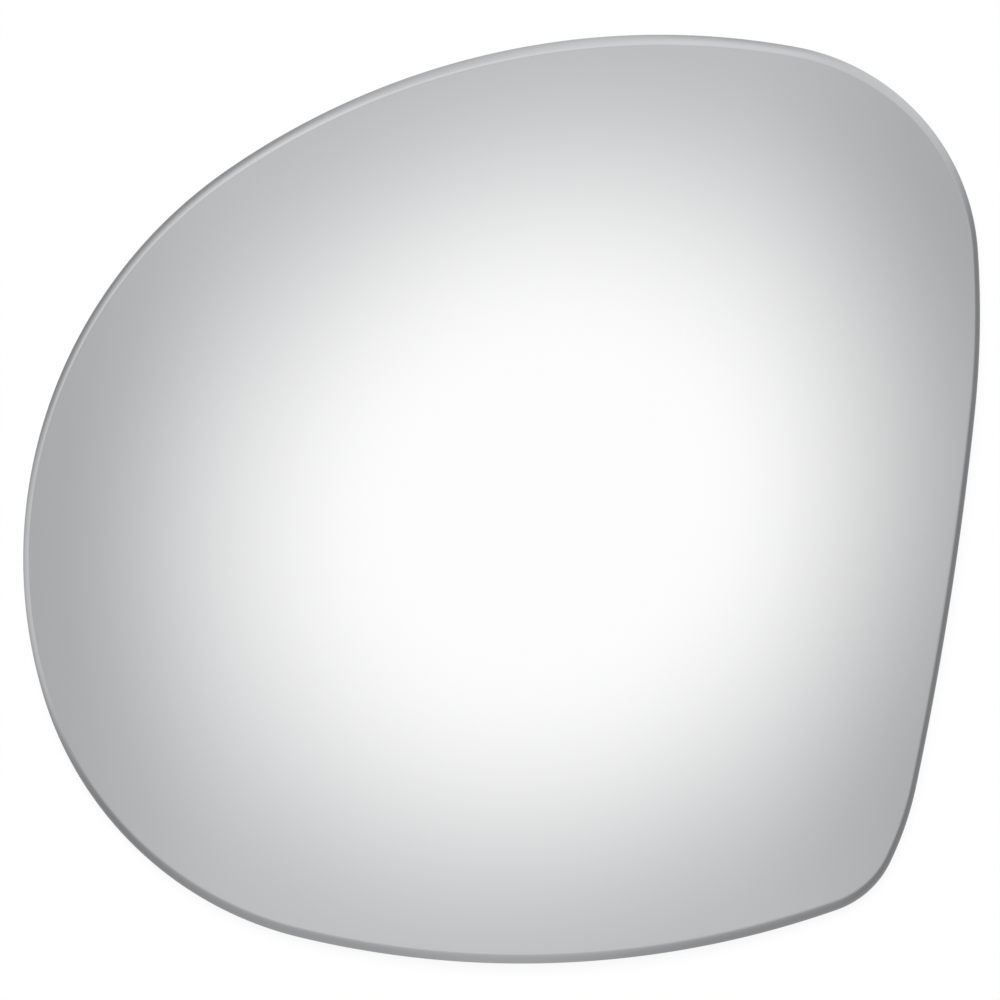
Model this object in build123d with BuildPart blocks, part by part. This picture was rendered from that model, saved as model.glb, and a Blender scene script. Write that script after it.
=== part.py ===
from build123d import *
import os

import numpy as np

os.makedirs("parts", exist_ok=True)

# Car door mirror glass: one sheet of silvered glass, bent to a shallow dome, with a ground rim.
# It lies face up. +X points inboard, to the car, +Y to the top of the mirror and +Z out of the face.
# The origin is the middle of the glass's box, at the height of the surface that the rim lies on.
# Sizes are in millimetres and degrees.

# Sheet
glass_width = 152.0
glass_height = 147.6
glass_thickness = 2.0
dome_radius = 1400.0
# The dome's axis stands over the middle of the smallest circle round the rim, so the glass lies level.
dome_axis_x = 3.7
dome_axis_y = 3.2

# Ground rim: a bevel round the face, and a small arris that takes the sharpness off the back
bevel_width = 1.2
bevel_depth = 0.6
arris = 0.3

# Outline: nine tangent arcs, anticlockwise as seen from the front, from the top round to the upper corner.
# A heading is the direction that the rim faces, from +X, and each arc is given by the angle that it turns
# the heading. Corners and shoulders have radii of their own. The four long arcs take the radii that close
# the outline at its width and height.
first_heading = 79.8
top_angle = 44.9
outboard_angle = 72.3
lower_outboard_angle = 59.5
lower_outboard_radius = 56.0
bottom_angle = 32.8
lower_corner_angle = 44.9
lower_corner_radius = 14.7
lower_shoulder_angle = 14.0
lower_shoulder_radius = 52.5
inboard_angle = 5.8
upper_shoulder_angle = 9.7
upper_shoulder_radius = 152.0
upper_corner_radius = 35.2

worked_out = np.nan
outline_arcs = np.array(
    [
        [top_angle, worked_out],
        [outboard_angle, worked_out],
        [lower_outboard_angle, lower_outboard_radius],
        [bottom_angle, worked_out],
        [lower_corner_angle, lower_corner_radius],
        [lower_shoulder_angle, lower_shoulder_radius],
        [inboard_angle, worked_out],
        [upper_shoulder_angle, upper_shoulder_radius],
        [0, upper_corner_radius],
    ]
)
angles, radii = outline_arcs.T
angles[-1] = 360 - angles.sum()  # the upper corner turns what the others leave
ends = first_heading + angles.cumsum()
starts = ends - angles


def unit(heading):
    """Unit vector at a heading, or one column for each of several."""
    return np.array([np.cos(np.radians(heading)), np.sin(np.radians(heading))])


def steps(low, high):
    """Step along each arc between two headings, for a radius of 1."""
    return unit(np.clip(ends, low, high)) - unit(np.clip(starts, low, high))


# The full turn comes back to where it began, and half turns cross the width and the height.
conditions = np.vstack([steps(starts[0], ends[-1]), steps(180, 360)[0], steps(90, 270)[1]])
totals = np.array([0, 0, glass_width, -glass_height])
long = np.isnan(radii)
totals = totals - conditions[:, ~long] @ radii[~long]
radii[long] = np.linalg.solve(conditions[:, long], totals)

# The outline's box is centred on the origin.
first_point = np.array([glass_width, glass_height]) / 2
first_point -= [steps(starts[0], 360)[0] @ radii, steps(starts[0], 90)[1] @ radii]


def rim_point(heading):
    """Point of the outline that faces a heading."""
    return first_point + steps(starts[0], heading) @ radii


# The back's lowest points, which lie just inside its arris where the rim is furthest from the dome's
# axis, are at the height of the origin.
back_radius = dome_radius - glass_thickness
dome_axis = np.array([dome_axis_x, dome_axis_y])
heading_step = 0.1
headings = np.arange(starts[0], ends[-1], heading_step)
rim_reach = max(np.hypot(*(rim_point(heading) - dome_axis)) for heading in headings)
dome_centre_z = -np.sqrt(back_radius**2 - (rim_reach - arris) ** 2)
dome_top = dome_centre_z + dome_radius

with BuildPart() as mirror_glass:
    # Blank cut to the outline, from a thickness below the glass to a thickness above it
    with BuildSketch(Plane.XY.offset(-glass_thickness)):
        with BuildLine():
            for start, angle, radius in zip(starts, angles, radii):
                centre = rim_point(start) - radius * unit(start)
                CenterArc(tuple(centre), radius, start, angle)
        make_face()
    extrude(amount=dome_top + 2 * glass_thickness)

    # Both faces belong to spheres about one centre. The spheres lie on their sides, with their poles
    # along Y, so that neither pole nor seam is in the glass.
    with Locations((dome_axis_x, dome_axis_y, dome_centre_z)):
        Sphere(dome_radius, rotation=(90, 0, 0), mode=Mode.INTERSECT)
        Sphere(back_radius, rotation=(90, 0, 0), mode=Mode.SUBTRACT)

    face = mirror_glass.faces().filter_by(GeomType.SPHERE).sort_by(Axis.Z)[-1]
    chamfer(face.edges(), bevel_width, bevel_depth, reference=face)
    back = mirror_glass.faces().filter_by(GeomType.SPHERE).sort_by(Axis.Z)[0]
    chamfer(back.edges(), arris)

mirror_glass.part.label = "mirror_glass"
export_step(mirror_glass.part, "parts/mirror_glass.step")
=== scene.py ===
"""A car door mirror glass, lying face up on a pale floor and seen from straight above."""

import bpy
import numpy as np
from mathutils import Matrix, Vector


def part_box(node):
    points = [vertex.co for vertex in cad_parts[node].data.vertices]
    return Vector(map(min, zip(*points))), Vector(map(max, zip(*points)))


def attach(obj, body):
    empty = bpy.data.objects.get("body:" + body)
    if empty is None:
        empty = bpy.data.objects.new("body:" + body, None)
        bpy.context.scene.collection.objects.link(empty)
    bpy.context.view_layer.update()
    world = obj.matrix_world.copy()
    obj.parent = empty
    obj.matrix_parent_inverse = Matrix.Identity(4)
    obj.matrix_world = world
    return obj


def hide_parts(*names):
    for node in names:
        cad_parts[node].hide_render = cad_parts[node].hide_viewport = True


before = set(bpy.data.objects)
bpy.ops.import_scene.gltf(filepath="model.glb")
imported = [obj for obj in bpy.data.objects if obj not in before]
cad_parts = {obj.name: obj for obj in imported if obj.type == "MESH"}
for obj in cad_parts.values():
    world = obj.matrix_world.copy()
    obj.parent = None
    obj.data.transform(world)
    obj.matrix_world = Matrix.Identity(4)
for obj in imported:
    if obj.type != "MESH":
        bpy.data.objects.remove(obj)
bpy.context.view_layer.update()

# Lengths are in metres, in the frame's own axes: +X inboard, +Y to the mirror's top, +Z out of its face.
MM = 0.001
GLASS = "mirror_glass"
glass_low, glass_high = (np.array(corner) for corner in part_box(GLASS))
GLASS_WIDTH, GLASS_HEIGHT = (glass_high - glass_low)[:2]
GLASS_THICKNESS = 2.0 * MM
DOME_RADIUS = 1400.0 * MM
DOME_AXIS = np.array([3.7, 3.2]) * MM
BACK_ARRIS = 0.3 * MM

# The bevel looks narrower at the sides than at the top and bottom. Its inner edge is smoothed, so it leaves
# the face level. Its depth grows as this power of the way over it, and at the rim it has this slope.
BEVEL_WIDTH_AT_SIDES = 0.96 * MM
BEVEL_WIDTH_AT_ENDS = 1.79 * MM
BEVEL_POWER = 1.5
BEVEL_SLOPE = 0.5

# The outline's nine tangent arcs, anticlockwise from the top: the angle that each turns, in degrees, and its
# radius. A heading is the direction that the rim faces, from +X. The four long arcs take the radii that close
# the outline at its width and height.
FIRST_HEADING = 79.8
LONG = np.nan
OUTLINE_ARCS = np.array(
    [
        [44.9, LONG],  # top
        [72.3, LONG],  # outboard end
        [59.5, 56.0 * MM],  # lower outboard end
        [32.8, LONG],  # bottom
        [44.9, 14.7 * MM],  # lower corner
        [14.0, 52.5 * MM],  # lower shoulder
        [5.8, LONG],  # inboard side
        [9.7, 152.0 * MM],  # upper shoulder
        [76.1, 35.2 * MM],  # upper corner
    ]
)

# Mesh: points round the rim, rows on each part of the section, and each finish's place among the materials
RIM_POINTS = 640
FACE_ROWS = 32
BEVEL_ROWS = 12
WALL_ROWS = 6
ARRIS_ROWS = 5
FACE, BEVEL, EDGE, BACK = range(4)

# Picture: a square of this many pixels, in which the glass is this wide and has its middle here
PICTURE_PX = 1000
GLASS_WIDTH_PX = 955.8
GLASS_MIDDLE_PX = np.array([501.55, 499.2])
LENS_MM = 200.0
SENSOR_MM = 36.0

# Studio: a cool room with a warmer soft box. White paper covers the floor, most of it plain white to the eye,
# and sweeps up from the horizon, where it gives way to grey walls by this elevation in degrees.
ROOM_COLOUR = "#fbfcff"
SOFT_BOX_COLOUR = "#fffefb"
PAPER_COLOUR = "#ffffff"
PLAIN_WHITE_SHARE = 0.91
SWEEP_TOP = 36.0
# The walls lighten to a pale cove round the ceiling: elevation in degrees, and light.
ROOM = [(49.0, 0.249), (69.0, 0.650), (78.0, 0.445)]
# The face shows the overhead lights, the soft box and a long strip that runs along Y: middle and half sizes
# on a ceiling at a height of 1, turn in degrees, share of the size that is full, light and colour.
OVERHEAD_LIGHTS = [
    ((0.0126, -0.0079), (0.2151, 0.1920), 44.1, 0.300, 0.527, SOFT_BOX_COLOUR),
    ((-0.0094, 0.0), (0.2067, 5.0), 0.0, 0.470, 0.126, ROOM_COLOUR),
]
# The bevel shows the low lights: heading, elevation and spread in degrees, and light.
LOW_LIGHTS = [
    (51.7, 39.7, 29.3, 0.536),
    (98.7, 45.5, 25.8, 0.493),
    (138.7, 53.0, 21.0, 0.463),
    (184.8, 45.0, 22.2, 0.504),
    (260.4, 49.8, 31.6, 0.189),
]
# A broad lamp from the top side lights what isn't a mirror: heading, elevation and width in degrees, and
# power.
KEY_LAMP = (100.0, 52.0, 40.0, 2.3)


def unit(heading):
    """Unit vectors at headings in degrees, as two rows."""
    return np.array([np.cos(np.radians(heading)), np.sin(np.radians(heading))])


def outline():
    """Points of the rim, evenly spaced, the way each faces, its distance along the rim, and the rim's length.

    A point that faces a heading is its arc's centre plus the arc's radius times that heading's unit vector.
    """
    angles, radii = OUTLINE_ARCS.T.copy()
    ends = FIRST_HEADING + angles.cumsum()
    starts = ends - angles

    def steps(low, high):
        """Step along each arc between two headings, for a radius of 1."""
        return unit(np.clip(ends, low, high)) - unit(np.clip(starts, low, high))

    # The full turn comes back to where it began, and half turns cross the width and the height.
    conditions = np.vstack([steps(starts[0], ends[-1]), steps(180, 360)[0], steps(90, 270)[1]])
    totals = np.array([0, 0, GLASS_WIDTH, -GLASS_HEIGHT])
    long = np.isnan(radii)
    totals = totals - conditions[:, ~long] @ radii[~long]
    radii[long] = np.linalg.solve(conditions[:, long], totals)

    # The rim meets the right of its box where it faces 360 degrees, and the top where it faces 90.
    first = glass_high[:2] - [steps(starts[0], 360)[0] @ radii, steps(starts[0], 90)[1] @ radii]
    joins = np.array([first + steps(starts[0], start) @ radii for start in starts])
    centres = joins - (radii * unit(starts)).T

    lengths = np.radians(angles) * radii
    along = np.linspace(0, lengths.sum(), RIM_POINTS, endpoint=False)
    heading = np.interp(along, np.r_[0, lengths.cumsum()], np.r_[starts, ends[-1]])
    arc = np.searchsorted(ends, heading, side="right")
    facing = unit(heading).T
    return centres[arc] + radii[arc, None] * facing, facing, along, lengths.sum()


def eased(rows):
    """Fractions over 0 and up to 1, close together at both ends: half of one less a half turn's cosine."""
    return (1 - np.cos(np.pi * np.linspace(0, 1, rows + 1)[1:])) / 2


def section():
    """The glass's section from the middle of the face, over the rim, to the middle of the back.

    Each row has its way out from the middle (0) to its edge (1), then its inset from the rim and its depth
    below the face, each as a share of the bevel's width and a length to add. Rows of the face and the back
    crowd towards the rim, as a sine does. The bevel's depth is a power of the way over it. With the rows
    comes the finish of each strip between two of them.
    """
    face = np.sin(np.pi / 2 * np.linspace(0, 1, FACE_ROWS + 1)[1:])
    bevel, wall, arris = eased(BEVEL_ROWS), eased(WALL_ROWS), eased(ARRIS_ROWS)
    back = face[-2::-1]
    foot = GLASS_THICKNESS - BACK_ARRIS
    bevel_depth = BEVEL_SLOPE / BEVEL_POWER
    parts = [
        (face, 1, 0, 0, 0),
        (1, 1 - bevel, 0, bevel_depth * bevel**BEVEL_POWER, 0),
        (1, 0, 0, bevel_depth * (1 - wall), foot * wall),
        (1, 0, BACK_ARRIS * arris, 0, foot + BACK_ARRIS * arris),
        (back, 0, BACK_ARRIS, 0, GLASS_THICKNESS),
    ]
    rows = np.vstack([np.column_stack(np.broadcast_arrays(*part)) for part in parts])
    strip_counts = [len(face) - 1, len(bevel), len(wall), len(arris), len(back)]
    return rows.T, np.repeat([FACE, BEVEL, EDGE, EDGE, BACK], strip_counts)


def on_dome(plan, depth):
    """Heights, over the dome's centre, of the sphere that lies depth below the face, at points in plan."""
    across = ((plan - DOME_AXIS) ** 2).sum(-1)
    return np.sqrt((DOME_RADIUS - depth) ** 2 - across)


def glass_sheet(finishes):
    """The bent sheet as one closed mesh: the section carried round the outline.

    A point in plan is the rim's point less its inset along the way the rim faces, drawn towards the dome's
    axis by the row's share. Its height is that of a sphere at its depth below the face.
    """
    rim, facing, along, girth = outline()
    (out, inset_share, inset, depth_share, depth), strips = section()
    width = np.hypot(BEVEL_WIDTH_AT_SIDES * facing[:, 0], BEVEL_WIDTH_AT_ENDS * facing[:, 1])
    inwards = np.outer(inset_share, width) + inset[:, None]
    edge = rim - inwards[..., None] * facing
    plan = DOME_AXIS + out[:, None, None] * (edge - DOME_AXIS)
    below = np.outer(depth_share, width) + depth[:, None]
    grid = np.dstack([plan, on_dome(plan, below)])
    rows, columns = grid.shape[:2]

    # The middles of the face and the back follow the grid, and the lowest point lies on the floor.
    middles = [[*DOME_AXIS, on_dome(DOME_AXIS, level)] for level in (0, GLASS_THICKNESS)]
    points = np.vstack([grid.reshape(-1, 3), middles])
    points[:, 2] += glass_low[2] - points[:, 2].min()

    here = np.arange(rows * columns).reshape(rows, columns)
    after = np.roll(here, -1, axis=1)
    quads = np.stack([here[:-1], here[1:], after[1:], after[:-1]], axis=-1).reshape(-1, 4)
    middle = np.full(columns, rows * columns)
    front_fan = np.column_stack([middle, here[0], after[0]])
    back_fan = np.column_stack([middle + 1, after[-1], here[-1]])

    mesh = bpy.data.meshes.new("silvered_glass_sheet")
    mesh.from_pydata(points, [], [*quads.tolist(), *front_fan.tolist(), *back_fan.tolist()])
    for finish in finishes:
        mesh.materials.append(finish)
    finish_index = np.repeat([*strips, FACE, BACK], columns)
    mesh.polygons.foreach_set("material_index", finish_index.astype(np.int32))
    mesh.polygons.foreach_set("use_smooth", np.ones(len(mesh.polygons), bool))

    # UV map in metres: along the rim, and down the section. The last column of faces ends at the girth.
    down = np.r_[0, np.linalg.norm(np.diff(grid, axis=0), axis=2).mean(1).cumsum()]
    corner = np.empty(len(mesh.loops), np.int32)
    mesh.loops.foreach_get("vertex_index", corner)
    row, column = np.divmod(np.minimum(corner, rows * columns - 1), columns)
    uv = np.column_stack([along[column], down[row]]).astype(np.float32)
    seam = uv[: quads.size].reshape(rows - 1, columns, 4, 2)[:, -1, 2:, 0]
    seam[:] = girth
    mesh.uv_layers.new(name="rim_and_section").uv.foreach_set("vector", uv.ravel())

    piece = bpy.data.objects.new("silvered_glass_sheet", mesh)
    bpy.context.scene.collection.objects.link(piece)
    return piece


def linear(colour):
    """An sRGB hex colour as linear red, green, blue and an alpha of 1."""
    parts = np.array([int(colour[i : i + 2], 16) for i in (1, 3, 5)]) / 255
    low, high = parts / 12.92, ((parts + 0.055) / 1.055) ** 2.4
    return (*np.where(parts <= 0.04045, low, high), 1.0)


def add(tree, kind, feeds, **settings):
    """Adds a node with its settings. feeds gives each input socket a value, or the output that drives it."""
    node = tree.nodes.new(kind)
    for name, value in settings.items():
        setattr(node, name, value)
    for socket, value in feeds.items():
        if isinstance(value, bpy.types.NodeSocket):
            tree.links.new(value, node.inputs[socket])
        else:
            node.inputs[socket].default_value = value
    return node


def new_tree(block):
    """The empty node tree of a new material or world."""
    block.use_nodes = True
    block.node_tree.nodes.clear()
    return block.node_tree


def silvered_float_glass():
    """Float glass, bent hot over a mould and silvered behind: a clear, bright, neutral mirror.

    The eye gets the studio's light with hardly a ripple, and a breath of haze left by a cloth.
    """
    material = bpy.data.materials.new("silvered_float_glass")
    tree = new_tree(material)
    place = add(tree, "ShaderNodeTexCoord", {}).outputs["Object"]
    ripple_size, ripple_height = 30 * MM, 0.001 * MM
    ripple = add(tree, "ShaderNodeTexNoise", {"Vector": place, "Scale": 1 / ripple_size, "Detail": 0.0})
    bump = add(tree, "ShaderNodeBump", {"Height": ripple.outputs["Fac"], "Distance": ripple_height})
    haze_size = 12 * MM
    haze = add(tree, "ShaderNodeTexNoise", {"Vector": place, "Scale": 1 / haze_size, "Detail": 4.0})
    roughness = add(tree, "ShaderNodeMapRange", {"Value": haze.outputs["Fac"], "To Min": 0.0, "To Max": 0.06})
    shader = add(
        tree,
        "ShaderNodeBsdfPrincipled",
        {
            "Base Color": linear("#f4f4f4"),
            "Metallic": 1.0,
            "Roughness": roughness.outputs["Result"],
            "Normal": bump.outputs["Normal"],
        },
    )
    add(tree, "ShaderNodeOutputMaterial", {"Surface": shader.outputs["BSDF"]})
    return material


def grinding(tree, pitch, run, height):
    """Marks that a grinding belt leaves along the rim, as a pattern and as a bump of that height.

    The pattern is a noise on the UV map, as fine as the pitch across the rim and drawn out along it.
    """
    rim = add(tree, "ShaderNodeTexCoord", {}).outputs["UV"]
    drawn = add(tree, "ShaderNodeMapping", {"Vector": rim, "Scale": (1 / run, 1 / pitch, 1.0)})
    marks = add(tree, "ShaderNodeTexNoise", {"Vector": drawn.outputs["Vector"], "Scale": 1.0, "Detail": 3.0})
    bump = add(tree, "ShaderNodeBump", {"Height": marks.outputs["Fac"], "Distance": height})
    return marks.outputs["Fac"], bump.outputs["Normal"]


def ground_glass_bevel():
    """Glass ground on a fine belt and smoothed, with the silver seen through it: a satin band, pale grey.

    The eye gets soft lights along it, broken by faint lines that follow the rim. Real marks are finer, a few
    hundredths of a millimetre, and are drawn coarser so that a picture holds them.
    """
    material = bpy.data.materials.new("ground_glass_bevel")
    tree = new_tree(material)
    marks, normal = grinding(tree, pitch=0.12 * MM, run=30 * MM, height=0.001 * MM)
    roughness = add(tree, "ShaderNodeMapRange", {"Value": marks, "To Min": 0.16, "To Max": 0.28})
    shader = add(
        tree,
        "ShaderNodeBsdfPrincipled",
        {
            "Base Color": linear("#dbdbdb"),
            "Metallic": 1.0,
            "Roughness": roughness.outputs["Result"],
            "Normal": normal,
        },
    )
    add(tree, "ShaderNodeOutputMaterial", {"Surface": shader.outputs["BSDF"]})
    return material


def ground_glass_edge():
    """The sheet's bare edge, ground on a coarse belt and left matt.

    The eye gets a dull grey-green, as iron tints float glass seen end on, with pale scratches along it.
    """
    material = bpy.data.materials.new("ground_glass_edge")
    tree = new_tree(material)
    marks, normal = grinding(tree, pitch=0.2 * MM, run=20 * MM, height=0.006 * MM)
    colour = add(
        tree,
        "ShaderNodeMix",
        {"Factor": marks, "A": linear("#82978d"), "B": linear("#b3c0b9")},
        data_type="RGBA",
    )
    roughness = add(tree, "ShaderNodeMapRange", {"Value": marks, "To Min": 0.36, "To Max": 0.54})
    shader = add(
        tree,
        "ShaderNodeBsdfPrincipled",
        {
            "Base Color": colour.outputs["Result"],
            "Roughness": roughness.outputs["Result"],
            "IOR": 1.52,
            "Normal": normal,
        },
    )
    add(tree, "ShaderNodeOutputMaterial", {"Surface": shader.outputs["BSDF"]})
    return material


def backing_lacquer():
    """Grey lacquer, poured over the silver as a curtain.

    The eye gets an even, dull skin, faintly clouded, with a fine orange peel.
    """
    material = bpy.data.materials.new("backing_lacquer")
    tree = new_tree(material)
    place = add(tree, "ShaderNodeTexCoord", {}).outputs["Object"]
    peel_size, peel_height = 1.2 * MM, 0.008 * MM
    peel = add(tree, "ShaderNodeTexNoise", {"Vector": place, "Scale": 1 / peel_size, "Detail": 1.0})
    bump = add(tree, "ShaderNodeBump", {"Height": peel.outputs["Fac"], "Distance": peel_height})
    cloud_size = 20 * MM
    cloud = add(tree, "ShaderNodeTexNoise", {"Vector": place, "Scale": 1 / cloud_size, "Detail": 3.0})
    colour = add(
        tree,
        "ShaderNodeMix",
        {"Factor": cloud.outputs["Fac"], "A": linear("#64676a"), "B": linear("#727577")},
        data_type="RGBA",
    )
    roughness = add(tree, "ShaderNodeMapRange", {"Value": cloud.outputs["Fac"], "To Min": 0.4, "To Max": 0.6})
    shader = add(
        tree,
        "ShaderNodeBsdfPrincipled",
        {
            "Base Color": colour.outputs["Result"],
            "Roughness": roughness.outputs["Result"],
            "Normal": bump.outputs["Normal"],
        },
    )
    add(tree, "ShaderNodeOutputMaterial", {"Surface": shader.outputs["BSDF"]})
    return material


def seen(tree):
    """1 where the camera sees a place, straight or in metal or glass, and 0 where it only gives light."""
    ray = add(tree, "ShaderNodeLightPath", {}).outputs
    shown = ray["Is Camera Ray"]
    for kind in ("Is Glossy Ray", "Is Transmission Ray"):
        shown = add(tree, "ShaderNodeMath", {0: shown, 1: ray[kind]}, operation="MAXIMUM").outputs[0]
    return shown


def white_paper():
    """Uncoated white paper. The eye gets plain white, and in the share that is left the glass's shadow."""
    material = bpy.data.materials.new("white_paper")
    tree = new_tree(material)
    share = {0: seen(tree), 1: PLAIN_WHITE_SHARE}
    plain_white = add(tree, "ShaderNodeMath", share, operation="MULTIPLY").outputs[0]
    lit = add(tree, "ShaderNodeBsdfDiffuse", {"Color": linear("#f4f4f4")})
    white = add(tree, "ShaderNodeEmission", {"Color": linear(PAPER_COLOUR), "Strength": 1.0})
    paper = add(tree, "ShaderNodeMixShader", {0: plain_white, 1: lit.outputs[0], 2: white.outputs[0]})
    add(tree, "ShaderNodeOutputMaterial", {"Surface": paper.outputs[0]})
    return material


def floor():
    """A wide pale floor at the height that the glass lies on."""
    half = 4.0
    corners = [(-half, -half, 0), (half, -half, 0), (half, half, 0), (-half, half, 0)]
    mesh = bpy.data.meshes.new("floor")
    mesh.from_pydata(corners, [], [(0, 1, 2, 3)])
    mesh.materials.append(white_paper())
    made = bpy.data.objects.new("floor", mesh)
    bpy.context.scene.collection.objects.link(made)


def rise(elevation):
    """Height of the unit vector at an elevation in degrees."""
    return np.sin(np.radians(elevation))


def towards(heading, elevation):
    """Unit vector to a place in the studio."""
    across = np.cos(np.radians(elevation)) * unit(heading)
    return (*across, rise(elevation))


def studio():
    """The world that the mirror shows. Its light is that of the walls plus a smooth step for each feature.

    A step goes from one light to another as some measure of the direction goes from start to stop.
    """
    world = bpy.data.worlds.new("studio")
    bpy.context.scene.world = world
    tree = new_tree(world)
    way = add(tree, "ShaderNodeTexCoord", {}).outputs["Generated"]
    height = add(tree, "ShaderNodeSeparateXYZ", {0: way}).outputs["Z"]

    # The room, by height
    walls = ROOM[0][1]
    to_white = add(tree, "ShaderNodeMath", {0: seen(tree), 1: 1 - walls}, operation="MULTIPLY").outputs[0]
    steps = [(height, 0.0, rise(SWEEP_TOP), to_white, 0.0, PAPER_COLOUR)]
    for (low, before), (high, after) in zip(ROOM, ROOM[1:]):
        steps.append((height, rise(low), rise(high), 0.0, after - before, ROOM_COLOUR))

    # The overhead lights, by where the direction meets the ceiling, which stays in reach at the horizon
    least_height = 0.05
    climb = add(tree, "ShaderNodeMath", {0: height, 1: least_height}, operation="MAXIMUM").outputs[0]
    reach = add(tree, "ShaderNodeMath", {0: 1.0, 1: climb}, operation="DIVIDE").outputs[0]
    ceiling = add(tree, "ShaderNodeVectorMath", {0: way, "Scale": reach}, operation="SCALE").outputs[0]
    for middle, size, turn, full, level, colour in OVERHEAD_LIGHTS:
        feeds = {
            "Vector": ceiling,
            "Location": (*middle, 1.0),
            "Rotation": (0.0, 0.0, np.radians(turn)),
            "Scale": (*size, 1.0),
        }
        ellipse = add(tree, "ShaderNodeMapping", feeds, vector_type="TEXTURE").outputs[0]
        radius = add(tree, "ShaderNodeVectorMath", {0: ellipse}, operation="LENGTH").outputs["Value"]
        steps.append((radius, full, 1.0, level, 0.0, colour))

    # The low lights, by the nearness of the direction to theirs
    for heading, elevation, spread, level in LOW_LIGHTS:
        aim = {0: way, 1: towards(heading, elevation)}
        nearness = add(tree, "ShaderNodeVectorMath", aim, operation="DOT_PRODUCT").outputs["Value"]
        steps.append((nearness, np.cos(np.radians(spread)), 1.0, 0.0, level, ROOM_COLOUR))

    light = tuple(walls * part for part in linear(ROOM_COLOUR)[:3])
    for measure, start, stop, before, after, colour in steps:
        feeds = {"Value": measure, "From Min": start, "From Max": stop, "To Min": before, "To Max": after}
        step = add(tree, "ShaderNodeMapRange", feeds, interpolation_type="SMOOTHSTEP").outputs["Result"]
        tinted = {0: step, 1: linear(colour)[:3], 2: light}
        light = add(tree, "ShaderNodeVectorMath", tinted, operation="MULTIPLY_ADD").outputs[0]
    background = add(tree, "ShaderNodeBackground", {"Color": light, "Strength": 1.0})
    add(tree, "ShaderNodeOutputWorld", {"Surface": background.outputs[0]})


def key_lamp():
    """The broad lamp. Mirrors don't show it, because the world already has the lights that they show."""
    heading, elevation, width, power = KEY_LAMP
    data = bpy.data.lights.new("key_lamp", "SUN")
    data.angle = np.radians(width)
    data.energy = power
    made = bpy.data.objects.new("key_lamp", data)
    made.rotation_euler = Vector(towards(heading, elevation)).to_track_quat("Z", "Y").to_euler()
    made.visible_glossy = False
    bpy.context.scene.collection.objects.link(made)


def camera():
    """A long lens straight above, so that the glass has its place and size in the picture."""
    metres_per_px = GLASS_WIDTH / GLASS_WIDTH_PX
    picture_width = PICTURE_PX * metres_per_px
    rim_height = glass_low[2] + GLASS_THICKNESS / 2
    middle = (glass_low + glass_high)[:2] / 2
    from_middle = (PICTURE_PX / 2 - GLASS_MIDDLE_PX) * [1, -1] * metres_per_px
    data = bpy.data.cameras.new("camera")
    data.lens = LENS_MM
    data.sensor_width = SENSOR_MM
    made = bpy.data.objects.new("camera", data)
    made.location = (*(middle + from_middle), rim_height + picture_width * LENS_MM / SENSOR_MM)
    bpy.context.scene.collection.objects.link(made)
    bpy.context.scene.camera = made


sheet = glass_sheet([silvered_float_glass(), ground_glass_bevel(), ground_glass_edge(), backing_lacquer()])
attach(sheet, "root")
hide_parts(GLASS)
floor()
studio()
key_lamp()
camera()
bpy.context.scene.view_settings.view_transform = "Standard"
